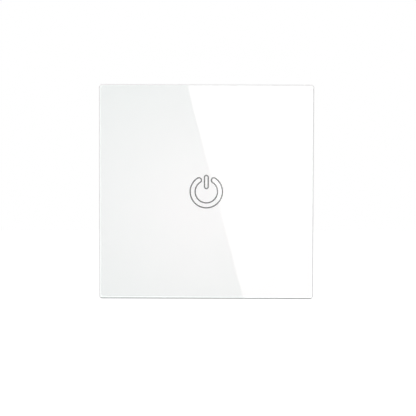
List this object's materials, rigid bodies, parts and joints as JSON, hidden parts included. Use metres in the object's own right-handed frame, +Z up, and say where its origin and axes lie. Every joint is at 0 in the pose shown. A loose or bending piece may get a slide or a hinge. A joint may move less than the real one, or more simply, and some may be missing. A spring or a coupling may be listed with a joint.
{
  "type": "touch light switch",
  "caption": "Square glass wall switch worked by touch: a pull-off glass front on a plastic frame, over a steel-backed base with touch board, relay power board and screw terminals.",
  "frame": {"origin": "midway between the two wall screws, on the wall's surface, which the back of the base lies on", "axes": "+X to the right and +Z up as seen from the room; +Y runs into the wall, so the glass faces -Y"},
  "size_m": [0.086, 0.0365, 0.086],
  "materials": {
    "glass": "clear float glass, polished edges, faint green tint",
    "white_print": "opaque white print, glossy through the glass",
    "tape": "foam tape, matt",
    "white_plastic": "moulded white plastic, fine texture",
    "galvanised_steel": "zinc-plated sheet, slight spangle",
    "screw_steel": "zinc-plated, bright",
    "touch_board": "white solder mask over glass fibre",
    "power_board": "green solder mask over glass fibre",
    "black_plastic": "moulded black plastic",
    "light_plastic": "milky light-guide plastic",
    "lamp": "pale resin",
    "shield_can": "tinned sheet, satin",
    "spring_wire": "plated spring wire",
    "terminal_plastic": "moulded dark grey plastic",
    "brass": "bright machined",
    "copper": "enamelled winding",
    "soft_iron": "nickel-plated soft iron",
    "relay_case": "moulded dark blue plastic",
    "bobbin_plastic": "moulded ivory plastic",
    "ferrite": "dark grey ferrite, matt",
    "yellow_tape": "yellow film tape over the winding",
    "can_sleeve": "dark shrink sleeve with a bare metal top",
    "box_film": "moulded ochre box",
    "disc_coat": "dipped blue coating",
    "fuse_body": "lacquered body with metal caps"
  },
  "bodies": {
    "base": {"mounting_plate": "galvanised_steel", "base_tray": "white_plastic", "rear_housing": "white_plastic", "housing_screws": "screw_steel", "touch_board": "touch_board", "touch_board_screws": "screw_steel", "power_board": "power_board", "board_socket": "black_plastic", "board_pins": "black_plastic", "electrode_spring": "spring_wire", "light_shield": "white_plastic", "light_diffuser": "light_plastic", "status_leds": "lamp", "radio_board": "power_board", "radio_can": "shield_can", "touch_chip": "black_plastic", "terminal_block": "terminal_plastic", "current_bars": "copper", "relay_base": "black_plastic", "relay_cover": "relay_case", "relay_bobbin": "bobbin_plastic", "relay_winding": "copper", "relay_core": "soft_iron", "relay_yoke": "soft_iron", "relay_fixed_contact": "copper", "transformer_core": "ferrite", "transformer_winding": "yellow_tape", "can_capacitor": "can_sleeve", "box_capacitor": "box_film", "varistor": "disc_coat", "fuse": "fuse_body", "bridge_rectifier": "black_plastic"},
    "panel": {"glass_panel": "glass", "back_print": "white_print", "panel_tape": "tape", "panel_frame": "white_plastic", "panel_snap_hooks": "white_plastic"},
    "relay_armature": {"relay_armature": "soft_iron", "relay_contact_blade": "copper"},
    "terminal_screw_1": {"terminal_screw_1": "screw_steel"},
    "terminal_cage_1": {"terminal_cage_1": "brass"},
    "terminal_screw_2": {"terminal_screw_2": "screw_steel"},
    "terminal_cage_2": {"terminal_cage_2": "brass"},
    "terminal_screw_3": {"terminal_screw_3": "screw_steel"},
    "terminal_cage_3": {"terminal_cage_3": "brass"}
  },
  "joints": [
    {"name": "panel_pull", "type": "slide", "parent": "base", "child": "panel", "axis": [0, -1, 0], "range_m": [0, 0.03], "deforming": ["panel_snap_hooks"]},
    {"name": "relay_armature_tilt", "type": "hinge", "parent": "base", "child": "relay_armature", "pos_m": [-0.0124, 0.01998, -0.0022], "axis": [1, 0, 0], "range_deg": [0, 3.9], "stiffness_Nm_per_rad": 0.002, "springref_deg": -5.73},
    {"name": "terminal_screw_1_turn", "type": "hinge", "parent": "base", "child": "terminal_screw_1", "pos_m": [-0.008, 0.016, -0.0174], "axis": [0, -1, 0], "range_deg": [0, 1440]},
    {"name": "terminal_cage_1_lift", "type": "slide", "parent": "base", "child": "terminal_cage_1", "axis": [0, 1, 0], "range_m": [0, 0.002]},
    {"name": "terminal_screw_2_turn", "type": "hinge", "parent": "base", "child": "terminal_screw_2", "pos_m": [0, 0.016, -0.0174], "axis": [0, -1, 0], "range_deg": [0, 1440]},
    {"name": "terminal_cage_2_lift", "type": "slide", "parent": "base", "child": "terminal_cage_2", "axis": [0, 1, 0], "range_m": [0, 0.002]},
    {"name": "terminal_screw_3_turn", "type": "hinge", "parent": "base", "child": "terminal_screw_3", "pos_m": [0.008, 0.016, -0.0174], "axis": [0, -1, 0], "range_deg": [0, 1440]},
    {"name": "terminal_cage_3_lift", "type": "slide", "parent": "base", "child": "terminal_cage_3", "axis": [0, 1, 0], "range_m": [0, 0.002]}
  ],
  "couplings": [
    {"joint": "terminal_screw_1_turn", "follows": "terminal_cage_1_lift", "rad_per_m": 12566},
    {"joint": "terminal_screw_2_turn", "follows": "terminal_cage_2_lift", "rad_per_m": 12566},
    {"joint": "terminal_screw_3_turn", "follows": "terminal_cage_3_lift", "rad_per_m": 12566}
  ]
}
